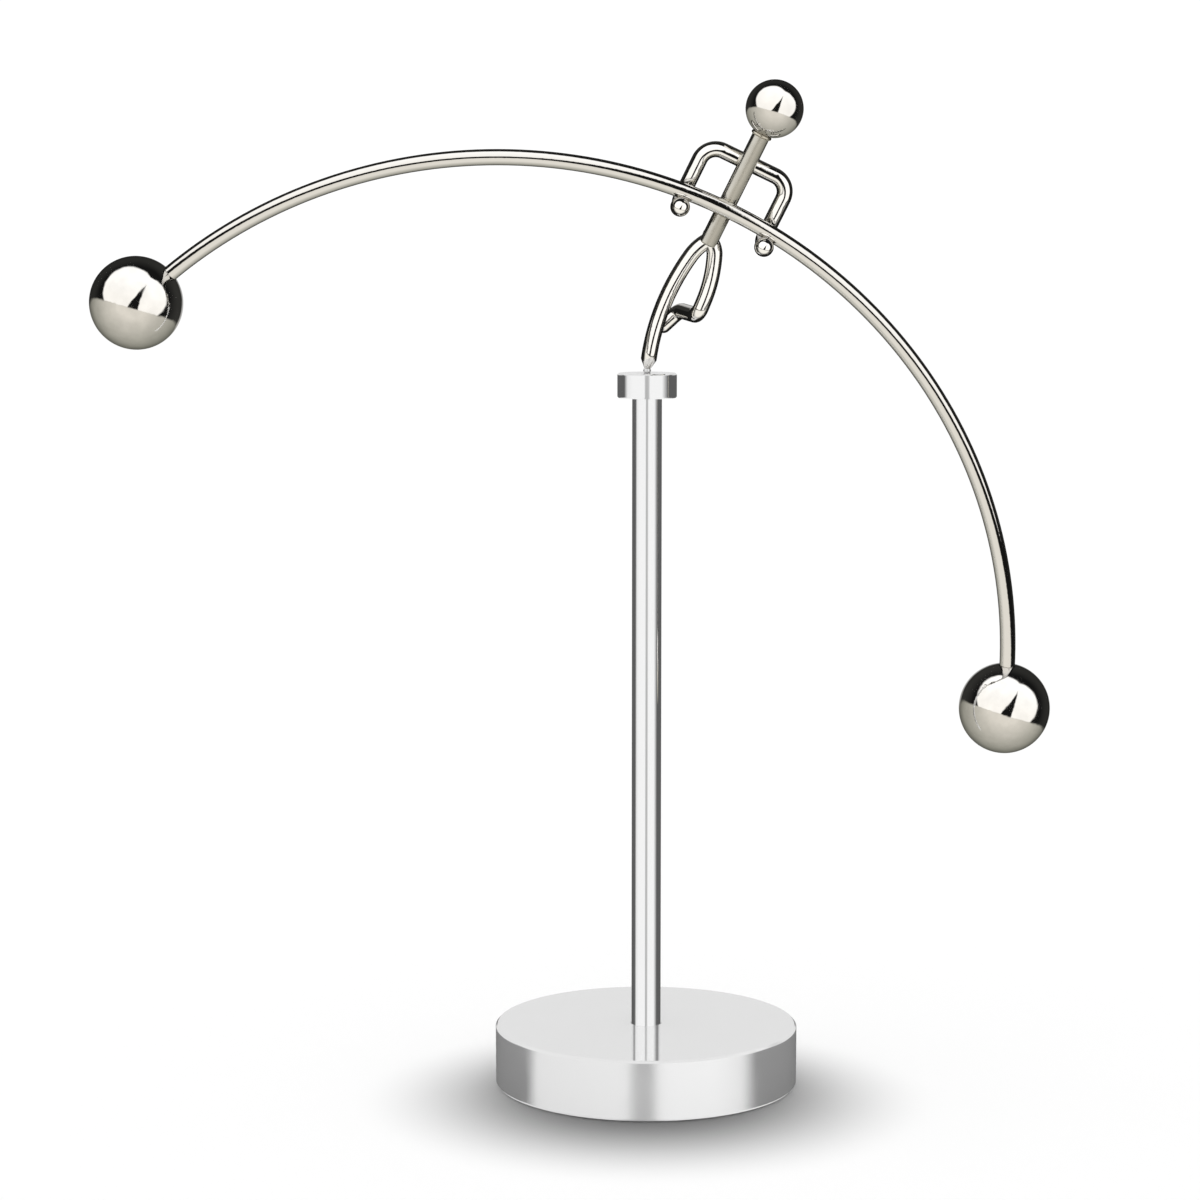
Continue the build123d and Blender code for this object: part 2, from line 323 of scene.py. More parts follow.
def drilled_ball(name, centre, radius, pole, bore, mouth, depth, sides=96):
    """A ball with a blind hole, chamfered at its mouth, that faces along the pole."""
    bpy.ops.object.select_all(action="DESELECT")
    turn = pole.to_track_quat("Z", "Y").to_euler()
    bpy.ops.mesh.primitive_uv_sphere_add(
        segments=sides, ring_count=sides * 2 // 3, radius=radius, location=centre, rotation=turn
    )
    piece = start_piece(name)
    rim = bore + mouth
    shoulder = math.sqrt(radius**2 - rim**2)
    bpy.ops.mesh.select_all(action="SELECT")
    bpy.ops.mesh.bisect(
        plane_co=centre + pole * shoulder, plane_no=pole, clear_outer=True, threshold=WELD
    )
    for step, size in ((mouth, bore / rim), (depth, 1)):
        bpy.ops.mesh.extrude_region_move(TRANSFORM_OT_translate={"value": -pole * step})
        shoulder -= step
        bpy.ops.transform.resize(
            value=(size, size, size), center_override=centre + pole * shoulder
        )
    bpy.ops.mesh.edge_face_add()
    return close_piece(piece)


def bar_centre(sizes, bar):
    """Centre of the bar's bend, in the upright figure."""
    forward = sizes.torso_forward + sizes.torso + bar.bar - sizes.seat
    return Vector((sizes.midline, -forward, bar.top_level - bar.bend))


def stand_on_toe(piece, sizes):
    """Leans and nods a piece of the upright figure onto the toe bearing."""
    toe = Vector(frame["joints"][0]["pos_m"])
    lean = Matrix.Rotation(sizes.lean, 4, "Y")
    nod = Matrix.Rotation(sizes.nod, 4, "X")
    bpy.ops.object.select_all(action="DESELECT")
    piece.select_set(True)
    bpy.context.view_layer.objects.active = piece
    piece.matrix_world = Matrix.Translation(toe) @ nod @ lean
    bpy.ops.object.transform_apply(location=True, rotation=True, scale=True)


def finish_piece(piece, finish, body, node):
    """Gives a piece its finish and its body, and hides the CAD node that it stands for."""
    piece.data.materials.clear()
    piece.data.materials.append(bpy.data.materials[finish])
    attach(piece, body)
    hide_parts(node)


def finish_on_figure(piece, sizes, finish, node):
    """Stands a piece of the upright figure on its toe and finishes it."""
    stand_on_toe(piece, sizes)
    finish_piece(piece, finish, "figure", node)


# ---- materials -----------------------------------------------------------------------
# A wave texture of scale 1 repeats at every WAVE metres.
WAVE = math.tau / 20
# Rings and marks from a tool are drawn this far apart. Real ones are too fine to show.
TOOL_PITCH = 0.5 * MM
# Noise is hardly ever under the first of these, or over the second.
NOISE_LOW = 0.35
NOISE_HIGH = 0.65
# Plating that is a little darker at a glancing angle, so that a ball's rim shows in a white room.
EDGE_TINT = "#a8a8a8"
# The base's top: how far under it the finer polish begins and is full, and its share of the
# side's roughness.
POLISH_BEGINS = 0.3 * MM
POLISH_FULL = 0.1 * MM
TOP_ROUGHNESS = 0.2


def put(tree, kind, inputs=None, stops=(), **settings):
    """Adds a node with its settings, its inputs and a colour ramp's stops. An input is a
    number, a vector, a colour or the output of another node."""
    node = tree.nodes.new(kind)
    for name, value in settings.items():
        setattr(node, name, value)
    for name, value in (inputs or {}).items():
        socket = node.inputs[name]
        if isinstance(value, bpy.types.NodeSocket):
            tree.links.new(value, socket)
            continue
        if isinstance(value, str):
            value = linear(value)
        socket.default_value = (*value, 1) if socket.type == "RGBA" else value
    if stops:
        elements = node.color_ramp.elements
        elements.remove(elements[1])
        for count, (spot, shade) in enumerate(stops):
            stop = elements.new(spot) if count else elements[0]
            stop.position = spot
            stop.color = (*linear(shade), 1)
    return node


def start_material(name):
    """An empty material and the piece's own coordinates, in metres."""
    material = bpy.data.materials.get(name) or bpy.data.materials.new(name)
    material.use_nodes = True
    tree = material.node_tree
    tree.nodes.clear()
    return tree, put(tree, "ShaderNodeTexCoord").outputs["Object"]


def end_material(tree, inputs):
    """The surface itself, from its colour, metallic, roughness and normal."""
    shader = put(tree, "ShaderNodeBsdfPrincipled", inputs)
    put(tree, "ShaderNodeOutputMaterial", {"Surface": shader.outputs["BSDF"]})


def patches(tree, place, size_mm, low, high):
    """Cloudy patches of a size, between two values: polish that is not quite even."""
    clouds = put(
        tree, "ShaderNodeTexNoise", {"Vector": place, "Scale": 1 / (size_mm * MM), "Detail": 3}
    )
    spread = put(
        tree, "ShaderNodeMapRange",
        {"Value": clouds.outputs["Fac"], "From Min": NOISE_LOW, "From Max": NOISE_HIGH,
         "To Min": low, "To Max": high},
        interpolation_type="SMOOTHSTEP",
    )
    return spread.outputs["Result"]


def shaded(tree, place, base_colour, size_mm, share):
    """A colour that sinks to a share of its light over patches of a size."""
    clouds = put(
        tree, "ShaderNodeTexNoise", {"Vector": place, "Scale": 1 / (size_mm * MM), "Detail": 2}
    )
    mixed = put(
        tree, "ShaderNodeMix",
        {"Factor": clouds.outputs["Fac"], "A": base_colour, "B": [c * share for c in base_colour]},
        data_type="RGBA",
    )
    return mixed.outputs["Result"]


def uneven(tree, place, size_mm, depth_mm):
    """Soft unevenness of a size and a depth, as the surface's normal."""
    lumps = put(
        tree, "ShaderNodeTexNoise", {"Vector": place, "Scale": 1 / (size_mm * MM), "Detail": 2}
    )
    bump = put(
        tree, "ShaderNodeBump", {"Height": lumps.outputs["Fac"], "Distance": depth_mm * MM}
    )
    return bump.outputs["Normal"]


def mirror_chrome(colours):
    """Buffed bright chrome on the balls: a near mirror whose soft copper underneath was
    polished by hand, so that what it reflects wavers a little."""
    tree, place = start_material("mirror_chrome")
    end_material(tree, {
        "Base Color": shaded(tree, place, colours.chrome, size_mm=2.2, share=0.78),
        "Metallic": 1,
        "Roughness": patches(tree, place, size_mm=3, low=0.03, high=0.1),
        "Specular Tint": EDGE_TINT,
        "Normal": uneven(tree, place, size_mm=3, depth_mm=0.05),
    })


def wire_chrome(colours):
    """Bright chrome over drawn wire: as bright as the balls, but with small waves from the
    die, and dull spots where the plating is thin."""
    tree, place = start_material("wire_chrome")
    end_material(tree, {
        "Base Color": shaded(tree, place, colours.chrome, size_mm=2.5, share=0.96),
        "Metallic": 1,
        "Roughness": patches(tree, place, size_mm=3, low=0.03, high=0.09),
        "Specular Tint": EDGE_TINT,
        "Normal": uneven(tree, place, size_mm=1.6, depth_mm=0.02),
    })


def satin_rod(colours):
    """Satin polished steel rod: an even warm grey that blurs what it reflects."""
    tree, place = start_material("satin_rod")
    end_material(tree, {
        "Base Color": shaded(tree, place, colours.satin, size_mm=3, share=0.86),
        "Metallic": 1,
        "Roughness": patches(tree, place, size_mm=2.5, low=0.14, high=0.24),
        "Normal": uneven(tree, place, size_mm=0.5, depth_mm=0.006),
    })


def turned_stainless(colours):
    """Turned and satin polished stainless: a soft bloom over a greyish mirror, which spreads
    each reflection on the side into an upright band. The top is polished finer, and has
    rings from the tool."""
    tree, place = start_material("turned_stainless")
    level = put(tree, "ShaderNodeSeparateXYZ", {"Vector": place}).outputs["Z"]
    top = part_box("base_disc")[1].z
    on_side = put(
        tree, "ShaderNodeMapRange",
        {"Value": level, "From Min": top - POLISH_BEGINS, "From Max": top - POLISH_FULL,
         "To Min": 1, "To Max": TOP_ROUGHNESS},
    ).outputs["Result"]
    haze = patches(tree, place, size_mm=9, low=0.14, high=0.2)
    polish = put(tree, "ShaderNodeMath", {0: haze, 1: on_side}, operation="MULTIPLY")
    rings = put(
        tree, "ShaderNodeTexWave",
        {"Vector": place, "Scale": WAVE / TOOL_PITCH, "Distortion": 0.3, "Detail": 1},
        wave_type="RINGS", rings_direction="Z",
    )
    turned = put(
        tree, "ShaderNodeBump",
        {"Height": rings.outputs["Fac"], "Distance": 0.0002 * MM,
         "Normal": uneven(tree, place, size_mm=0.35, depth_mm=0.0006)},
    )
    end_material(tree, {
        "Base Color": shaded(tree, place, colours.stainless, size_mm=12, share=0.98),
        "Metallic": 0.76,
        "Roughness": polish.outputs["Value"],
        "Normal": turned.outputs["Normal"],
    })


def ground_stainless(colours):
    """Centreless ground and buffed stainless: clear, straight reflections with a faint grey
    bloom, and fine marks round it from the wheel."""
    tree, place = start_material("ground_stainless")
    marks = put(
        tree, "ShaderNodeTexWave",
        {"Vector": place, "Scale": WAVE / TOOL_PITCH, "Distortion": 1, "Detail": 2},
        wave_type="BANDS", bands_direction="Z",
    )
    ground = put(
        tree, "ShaderNodeBump", {"Height": marks.outputs["Fac"], "Distance": 0.0003 * MM}
    )
    end_material(tree, {
        "Base Color": shaded(tree, place, colours.stainless, size_mm=8, share=0.98),
        "Metallic": 1,
        "Roughness": patches(tree, place, size_mm=6, low=0.05, high=0.1),
        "Normal": ground.outputs["Normal"],
    })


def bearing_steel(colours):
    """Hardened and lapped bearing steel: clear reflections, cloudy where it was lapped."""
    tree, place = start_material("bearing_steel")
    end_material(tree, {
        "Base Color": shaded(tree, place, colours.bearing, size_mm=0.6, share=0.94),
        "Metallic": 1,
        "Roughness": patches(tree, place, size_mm=0.8, low=0.06, high=0.14),
        "Normal": uneven(tree, place, size_mm=0.3, depth_mm=0.001),
    })


def zinc_plate(colours):
    """Bright zinc on the screw and washer: slightly milky and mottled."""
    tree, place = start_material("zinc_plate")
    end_material(tree, {
        "Base Color": shaded(tree, place, colours.fastener, size_mm=1.4, share=0.8),
        "Metallic": 1,
        "Roughness": patches(tree, place, size_mm=0.9, low=0.24, high=0.42),
        "Normal": uneven(tree, place, size_mm=0.4, depth_mm=0.004),
    })


def silver_braze(colours):
    """Silver braze, polished with the plating: soft lumps that dull its edges."""
    tree, place = start_material("silver_braze")
    end_material(tree, {
        "Base Color": shaded(tree, place, colours.braze, size_mm=1, share=0.85),
        "Metallic": 1,
        "Roughness": patches(tree, place, size_mm=1.2, low=0.08, high=0.2),
        "Normal": uneven(tree, place, size_mm=0.9, depth_mm=0.04),
    })


def closed_cell_foam(colours):
    """Closed cell foam pad: matt and dark, with cells about 0.4 mm across."""
    tree, place = start_material("closed_cell_foam")
    cells = put(tree, "ShaderNodeTexVoronoi", {"Vector": place, "Scale": 1 / (0.4 * MM)})
    pitted = put(
        tree, "ShaderNodeBump", {"Height": cells.outputs["Distance"], "Distance": 0.08 * MM}
    )
    end_material(tree, {
        "Base Color": shaded(tree, place, colours.foam, size_mm=1, share=0.6),
        "Metallic": 0,
        "Roughness": patches(tree, place, size_mm=1.5, low=0.75, high=0.95),
        "Normal": pitted.outputs["Normal"],
    })


def matt_paper(colours):
    """Matt paper sweep under the stand, with a soft shadow painted on it in front of the base,
    where a lamp high up behind it would leave one."""
    tree, place = start_material("matt_paper")
    off = put(tree, "ShaderNodeVectorMath", {0: place, 1: SHADE_CENTRE}, operation="DISTANCE")
    shade = put(
        tree, "ShaderNodeMapRange",
        {"Value": off.outputs["Value"], "From Min": SHADE_CORE, "From Max": SHADE_EDGE},
        interpolation_type="SMOOTHSTEP",
    )
    # Near the base the paper is mixed towards the painted shadow's shade.
    paper = put(
        tree, "ShaderNodeMix",
        {"Factor": shade.outputs["Result"], "A": FLOOR_SHADE, "B": colours.floor},
        data_type="RGBA",
    )
    end_material(
        tree, {"Base Color": paper.outputs["Result"], "Roughness": 1, "Specular IOR Level": 0}
    )


FINISHES = (
    mirror_chrome, wire_chrome, satin_rod, turned_stainless, ground_stainless, bearing_steel,
    zinc_plate, silver_braze, closed_cell_foam, matt_paper,
)


# ---- studio -----------------------------------------------------------------------------
CAMERA_PLACE = Vector((0, -655, 181)) * MM
CAMERA_DOWN = math.radians(7.03)
CAMERA_ASIDE = math.radians(-0.83)
LENS_MM = 97.5
SENSOR_MM = 36

# The floor is round and lies inside the domes, which give polished metal its reflections.
DOME_RADIUS = 8.0
DOME_CENTRE = (0, 0, 0.15)
FLOOR_RADIUS = 0.9 * DOME_RADIUS
ROOM_LIGHT = 1.06

# Soft shadow painted on the floor: its middle, how far its darkest part and its edge reach from
# there, and the painted shadow's shade.
SHADE_CENTRE = (0, -13 * MM, 0)
SHADE_CORE = 12 * MM
SHADE_EDGE = 60 * MM
FLOOR_SHADE = "#797979"

# Pieces with a dome of their own, and pieces that would be a dark spot in the balls.
LIMBS = ("arms_wire", "bowed_leg", "bent_leg", "left_hand_bead", "right_hand_bead")
BAR = ("bent_bar",)
UNREFLECTED = ("turned_base", "base_pad", "base_screw", "base_washer")

# What the figure reflects in front: round lamps as (centre, radius) on a mirror ball of radius
# 1, and the dark slit between them, from a slanted left edge to an upright right edge. All of
# it is tilted, and dipped for the limbs.
LAMPS = (((-0.14, 0.15, 0), 0.54), ((0.18, 0.12, 0), 0.48))
LAMP_FACE = ((0, "#f3f1ee"), (0.5, "#ffffff"))
LAMP_SOFT = 0.015
SLIT_SLANT = (1, -0.41, 0)
SLIT_LEFT = -0.02
SLIT_RIGHT = 0.15
SLIT_SOFT = 0.01
REFLECTED_TILT = math.radians(17)
LIMB_DIP = math.radians(21)

# Cloth behind and table below, in shades from the middle of that ball (0) to its rim (1).
# The lamp in the cloth goes from full to none between two cosines of the angle from the front.
CLOTH = ((0.75, "#141414"), (1, "#3a3a38"))
BACK_LAMP = (-0.98, -0.91)
TABLE_EDGE = -0.2
TABLE_SOFT = 0.03
TABLE_UNDER_BALLS = ((0.35, "#d2cec6"), (1, "#86867d"))
TABLE_UNDER_BAR = ((0.5, "#dedbd4"), (0.8, "#a9a8a0"), (1, "#3a3a38"))
TABLE_UNDER_LIMBS = ((0.5, "#e4e2dc"), (0.66, "#1c1c1b"))

# What the base, and the post with its cap, reflect from their left edge (-1) to their right
# edge (1).
BASE_PANELS = (
    (-0.76, "#606060"), (-0.70, "#ececec"), (-0.12, "#f5f5f5"), (-0.06, "#a8a8a8"),
    (0.04, "#a8a8a8"), (0.08, "#ffffff"), (0.45, "#ffffff"), (0.62, "#f0f0f0"),
    (0.70, "#606060"),
)
POST_PANELS = (
    (-0.76, "#606060"), (-0.66, "#f4f4f4"), (-0.50, "#ffffff"), (-0.09, "#ffffff"),
    (-0.05, "#b8b8b8"), (0.05, "#c4c4c4"), (0.10, "#ffffff"), (0.50, "#ffffff"),
    (0.70, "#606060"),
)

# The backdrop behind them, from no light to full: by the cosine from the front and by height.
# The panel overhead, by height.
BACKDROP = "#e4e4e4"
BACKDROP_SIDE = (-0.3, -0.6)
BACKDROP_FOOT = (-0.04, 0.04)
OVERHEAD = "#ececec"
OVERHEAD_EDGE = (0.6, 0.8)

# Name, radius, dip, size of the lamps, gap between lamps and table, table and strength.
FIGURE_DOMES = (
    ("figure_light", DOME_RADIUS, 0, 1, 0, TABLE_UNDER_BALLS, 1.36),
    ("bar_light", DOME_RADIUS * 1.1, 0, 0.85, 0.38, TABLE_UNDER_BAR, 1.15),
    ("limb_light", DOME_RADIUS * 1.2, LIMB_DIP, 0.86, 0.08, TABLE_UNDER_LIMBS, 1.35),
)
# Name, radius and panels.
STAND_DOMES = (
    ("base_light", DOME_RADIUS * 1.3, BASE_PANELS),
    ("post_light", DOME_RADIUS * 1.4, POST_PANELS),
)


def start_dome(name, radius, tilt, dip=0):
    """A sphere of light that only polished metal sees, turned to the studio's front, tilted
    and dipped. Returns it, its node tree, the direction on it and the half way vector, which
    is where on a mirror ball that direction is seen."""
    bpy.ops.object.select_all(action="DESELECT")
    bpy.ops.mesh.primitive_ico_sphere_add(subdivisions=5, radius=radius, location=(0, 0, 0))
    dome = bpy.context.object
    dome.name = dome.data.name = name
    level = math.pi / 2 - CAMERA_DOWN + dip
    facing = Matrix.Rotation(level, 4, "X") @ Matrix.Rotation(-tilt, 4, "Z")
    dome.matrix_world = Matrix.Translation(DOME_CENTRE) @ facing
    dome.visible_camera = dome.visible_diffuse = dome.visible_shadow = False
    dome.visible_transmission = dome.visible_volume_scatter = False
    tree, place = start_material(name)
    dome.data.materials.append(bpy.data.materials[name])
    bpy.data.materials[name].cycles.emission_sampling = "NONE"
    way = put(tree, "ShaderNodeVectorMath", {0: place}, operation="NORMALIZE").outputs[0]
    ahead = put(tree, "ShaderNodeVectorMath", {0: way, 1: (0, 0, 1)}, operation="ADD").outputs[0]
    half_way = put(tree, "ShaderNodeVectorMath", {0: ahead}, operation="NORMALIZE").outputs[0]
    return dome, tree, way, half_way


def light_dome(tree, panels, strength):
    """The dome gives the panels' light and lets what is behind it through."""
    glow = put(tree, "ShaderNodeEmission", {"Color": panels, "Strength": strength})
    clear = put(tree, "ShaderNodeBsdfTransparent")
    both = put(tree, "ShaderNodeAddShader", {0: glow.outputs[0], 1: clear.outputs[0]})
    put(tree, "ShaderNodeOutputMaterial", {"Surface": both.outputs[0]})


def height_on(tree, way):
    """How high a direction on a dome points: 0 is level and 1 is straight up."""
    upright = (0, math.cos(CAMERA_DOWN), math.sin(CAMERA_DOWN))
    height = put(tree, "ShaderNodeVectorMath", {0: way, 1: upright}, operation="DOT_PRODUCT")
    return height.outputs["Value"]


def figure_dome(name, radius, dip, lamp_size, gap, table_shades, strength):
    """Two round soft lamps that just touch in front, a pale table below with a gap over it,
    and black cloth behind with a third lamp in its middle."""
    dome, tree, way, half_way = start_dome(name, radius, REFLECTED_TILT, dip)
    across, up = put(tree, "ShaderNodeSeparateXYZ", {0: half_way}).outputs[:2]
    flat = put(
        tree, "ShaderNodeVectorMath", {0: half_way, 1: (1, 1, 0)}, operation="MULTIPLY"
    ).outputs[0]
    rim = put(tree, "ShaderNodeVectorMath", {0: flat}, operation="LENGTH").outputs["Value"]
    shines = []
    for centre, size in LAMPS:
        off = put(tree, "ShaderNodeVectorMath", {0: flat, 1: centre}, operation="DISTANCE")
        shine = put(
            tree, "ShaderNodeMapRange",
            {"Value": off.outputs["Value"], "From Min": size * lamp_size - LAMP_SOFT,
             "From Max": size * lamp_size + LAMP_SOFT, "To Min": 1, "To Max": 0},
        )
        shines.append(shine.outputs["Result"])
    lamps = put(tree, "ShaderNodeMath", {0: shines[0], 1: shines[1]}, operation="MAXIMUM")
    slant = put(tree, "ShaderNodeVectorMath", {0: half_way, 1: SLIT_SLANT}, operation="DOT_PRODUCT")
    left = put(
        tree, "ShaderNodeMapRange",
        {"Value": slant.outputs["Value"], "From Min": SLIT_LEFT - SLIT_SOFT,
         "From Max": SLIT_LEFT + SLIT_SOFT, "To Min": 1, "To Max": 0},
    )
    right = put(
        tree, "ShaderNodeMapRange",
        {"Value": across, "From Min": SLIT_RIGHT - SLIT_SOFT, "From Max": SLIT_RIGHT + SLIT_SOFT},
    )
    beside = put(
        tree, "ShaderNodeMath", {0: left.outputs["Result"], 1: right.outputs["Result"]},
        operation="MAXIMUM",
    )
    lit = put(
        tree, "ShaderNodeMath", {0: lamps.outputs[0], 1: beside.outputs[0]}, operation="MULTIPLY"
    )
    height = height_on(tree, way)
    over = put(
        tree, "ShaderNodeMapRange",
        {"Value": height, "From Min": TABLE_EDGE + gap - TABLE_SOFT, "From Max": TABLE_EDGE + gap},
    )
    lit = put(
        tree, "ShaderNodeMath", {0: lit.outputs[0], 1: over.outputs["Result"]},
        operation="MULTIPLY",
    )
    table = put(
        tree, "ShaderNodeMapRange",
        {"Value": height, "From Min": TABLE_EDGE - TABLE_SOFT,
         "From Max": TABLE_EDGE + TABLE_SOFT, "To Min": 1, "To Max": 0},
    )
    ahead = put(tree, "ShaderNodeSeparateXYZ", {0: way}).outputs[2]
    back = put(
        tree, "ShaderNodeMapRange",
        {"Value": ahead, "From Min": BACK_LAMP[0], "From Max": BACK_LAMP[1],
         "To Min": 1, "To Max": 0},
    )
    lamps = put(
        tree, "ShaderNodeMath", {0: lit.outputs[0], 1: back.outputs["Result"]},
        operation="MAXIMUM",
    )
    cloth = put(tree, "ShaderNodeValToRGB", {"Fac": rim}, CLOTH)
    face = put(tree, "ShaderNodeValToRGB", {"Fac": up}, LAMP_FACE)
    table_top = put(tree, "ShaderNodeValToRGB", {"Fac": rim}, table_shades)
    above = put(
        tree, "ShaderNodeMix",
        {"Factor": lamps.outputs[0], "A": cloth.outputs[0], "B": face.outputs[0]},
        data_type="RGBA",
    )
    panels = put(
        tree, "ShaderNodeMix",
        {"Factor": table.outputs["Result"], "A": above.outputs["Result"],
         "B": table_top.outputs[0]},
        data_type="RGBA",
    )
    light_dome(tree, panels.outputs["Result"], strength)
    return dome


def stand_dome(name, radius, front_shades):
    """Two tall soft panels in front with a narrow gap between them, dark cloth at the sides,
    a pale backdrop behind and a white panel overhead."""
    dome, tree, way, half_way = start_dome(name, radius, 0)
    across = put(tree, "ShaderNodeSeparateXYZ", {0: half_way}).outputs[0]
    spread = put(tree, "ShaderNodeMapRange", {"Value": across, "From Min": -1})
    stops = [((spot + 1) / 2, shade) for spot, shade in front_shades]
    front = put(tree, "ShaderNodeValToRGB", {"Fac": spread.outputs["Result"]}, stops)
    ahead = put(tree, "ShaderNodeSeparateXYZ", {0: way}).outputs[2]
    height = height_on(tree, way)
    behind = put(
        tree, "ShaderNodeMapRange",
        {"Value": ahead, "From Min": BACKDROP_SIDE[1], "From Max": BACKDROP_SIDE[0],
         "To Min": 1, "To Max": 0},
    )
    raised = put(
        tree, "ShaderNodeMapRange",
        {"Value": height, "From Min": BACKDROP_FOOT[0], "From Max": BACKDROP_FOOT[1]},
    )
    overhead = put(
        tree, "ShaderNodeMapRange",
        {"Value": height, "From Min": OVERHEAD_EDGE[0], "From Max": OVERHEAD_EDGE[1]},
    )
    backdrop = put(
        tree, "ShaderNodeMath", {0: behind.outputs["Result"], 1: raised.outputs["Result"]},
        operation="MULTIPLY",
    )
    walls = put(
        tree, "ShaderNodeMix",
        {"Factor": backdrop.outputs[0], "A": front.outputs[0], "B": BACKDROP}, data_type="RGBA",
    )
    panels = put(
        tree, "ShaderNodeMix",
        {"Factor": overhead.outputs["Result"], "A": walls.outputs["Result"], "B": OVERHEAD},
        data_type="RGBA",
    )
    light_dome(tree, panels.outputs["Result"], 1)
    return dome


def add_camera():
    """Camera a little above the figure's middle, looking slightly down."""
    camera = bpy.data.objects.new("camera", bpy.data.cameras.new("camera"))
    bpy.context.scene.collection.objects.link(camera)
    camera.data.lens = LENS_MM
    camera.data.sensor_width = SENSOR_MM
    camera.data.clip_end = 4 * DOME_RADIUS
    camera.location = CAMERA_PLACE
    camera.rotation_euler = (math.pi / 2 - CAMERA_DOWN, 0, -CAMERA_ASIDE)
    bpy.context.scene.camera = camera


# ---- operators -----------------------------------------------------------------------------
class LIFTER_OT_finishes(bpy.types.Operator):
    """Makes the finish of every piece, in the colours that are set"""

    bl_idname = "lifter.finishes"
    bl_label = "Finishes"

    def execute(self, context):
        colours = context.scene.lifter_colours
        for finish in FINISHES:
            finish(colours)
        return {"FINISHED"}


class LIFTER_OT_stage(bpy.types.Operator):
    """Adds the camera, the pale floor and the soft light"""

    bl_idname = "lifter.stage"
    bl_label = "Stage"

    def execute(self, context):
        add_camera()
        bpy.ops.object.select_all(action="DESELECT")
        bpy.ops.mesh.primitive_circle_add(vertices=96, radius=FLOOR_RADIUS, fill_type="NGON")
        floor = start_piece("floor")
        close_piece(floor)
        floor.data.materials.append(bpy.data.materials["matt_paper"])
        floor.visible_glossy = False
        world = bpy.data.worlds.new("studio")
        context.scene.world = world
        world.use_nodes = True
        background = world.node_tree.nodes["Background"]
        background.inputs["Color"].default_value = (1, 1, 1, 1)
        background.inputs["Strength"].default_value = ROOM_LIGHT
        world.cycles_visibility.glossy = False
        context.scene.view_settings.view_transform = "Standard"
        pieces = [p for body in frame["bodies"].values() for p in body.children]
        limbs = [p for p in pieces if p.name in LIMBS]
        bar = [p for p in pieces if p.name in BAR]
        figure = [p for p in frame["bodies"]["figure"].children if p not in limbs + bar]
        base = [p for p in pieces if p.name in UNREFLECTED]
        post = [p for p in pieces if p not in limbs + bar + figure + base]
        domes = [figure_dome(*dome) for dome in FIGURE_DOMES]
        domes += [stand_dome(*dome) for dome in STAND_DOMES]
        for dome, shown in zip(domes, (figure, bar, limbs, base, post)):
            lit = bpy.data.collections.new(f"lit by {dome.name}")
            for piece in shown:
                lit.objects.link(piece)
            dome.light_linking.receiver_collection = lit
        for piece in pieces:
            piece.visible_glossy = piece.name not in UNREFLECTED
        return {"FINISHED"}


class LIFTER_OT_base(bpy.types.Operator):
    """Turns the base: recess for the pad below, chamfered rim, socket for the post"""

    bl_idname = "lifter.base"
    bl_label = "Base"

    def execute(self, context):
        sizes = context.scene.lifter_stand
        foot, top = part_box("base_disc")
        pad_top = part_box("base_pad")[1]
        post_foot, post_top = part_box("post")
        rim, recess = top.x, pad_top.x + sizes.pad_gap
        bore = post_top.x + sizes.fit
        wire = Wire("turned_base", (0, 0, pad_top.z), UP, recess, sides=192)
        wire.follow(
            (
                (recess, foot.z),
                (rim - sizes.foot_chamfer, foot.z),
                (rim, foot.z + sizes.foot_chamfer),
                (rim, top.z - sizes.top_chamfer),
                (rim - sizes.top_chamfer, top.z),
                (bore + sizes.mouth, top.z),
                (bore, top.z - sizes.mouth),
                (bore, post_foot.z),
            )
        )
        piece = wire.close()
        soften(piece, sizes.edge_round)
        finish_piece(piece, "turned_stainless", "stand", "base_disc")
        return {"FINISHED"}


class LIFTER_OT_post(bpy.types.Operator):
    """Turns the post, with its tapped foot, and the bored cap on its top"""

    bl_idname = "lifter.post"
    bl_label = "Post and cap"

    def execute(self, context):
        sizes = context.scene.lifter_stand
        foot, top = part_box("post")
        rod = top.x
        edge = sizes.mouth
        start = (0, 0, foot.z + sizes.tapped_depth)
        wire = Wire("ground_post", start, UP, sizes.tapped_bore, sides=64)
        wire.follow(
            (
                (sizes.tapped_bore, foot.z + edge),
                (sizes.tapped_bore + edge, foot.z),
                (rod - edge, foot.z),
                (rod, foot.z + edge),
                (rod, top.z - edge),
                (rod - edge, top.z),
            )
        )
        post = wire.close()
        soften(post, sizes.edge_round)
        finish_piece(post, "ground_stainless", "stand", "post")

        cap_foot, cap_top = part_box("collar")
        cup_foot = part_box("bearing_cup")[0]
        chamfer, bore, rim = sizes.cap_chamfer, rod + sizes.fit, cap_top.x
        wire = Wire("turned_cap", (0, 0, top.z + sizes.fit), UP, bore, sides=128)
        wire.follow(
            (
                (bore, cap_foot.z + edge),
                (bore + edge, cap_foot.z),
                (rim - chamfer, cap_foot.z),
                (rim, cap_foot.z + chamfer),
                (rim, cap_top.z - chamfer),
                (rim - chamfer, cap_top.z),
                (sizes.cup_bore + edge, cap_top.z),
                (sizes.cup_bore, cap_top.z - edge),
                (sizes.cup_bore, cup_foot.z - sizes.fit),
            )
        )
        cap = wire.close()
        soften(cap, sizes.edge_round)
        finish_piece(cap, "ground_stainless", "stand", "collar")
        return {"FINISHED"}


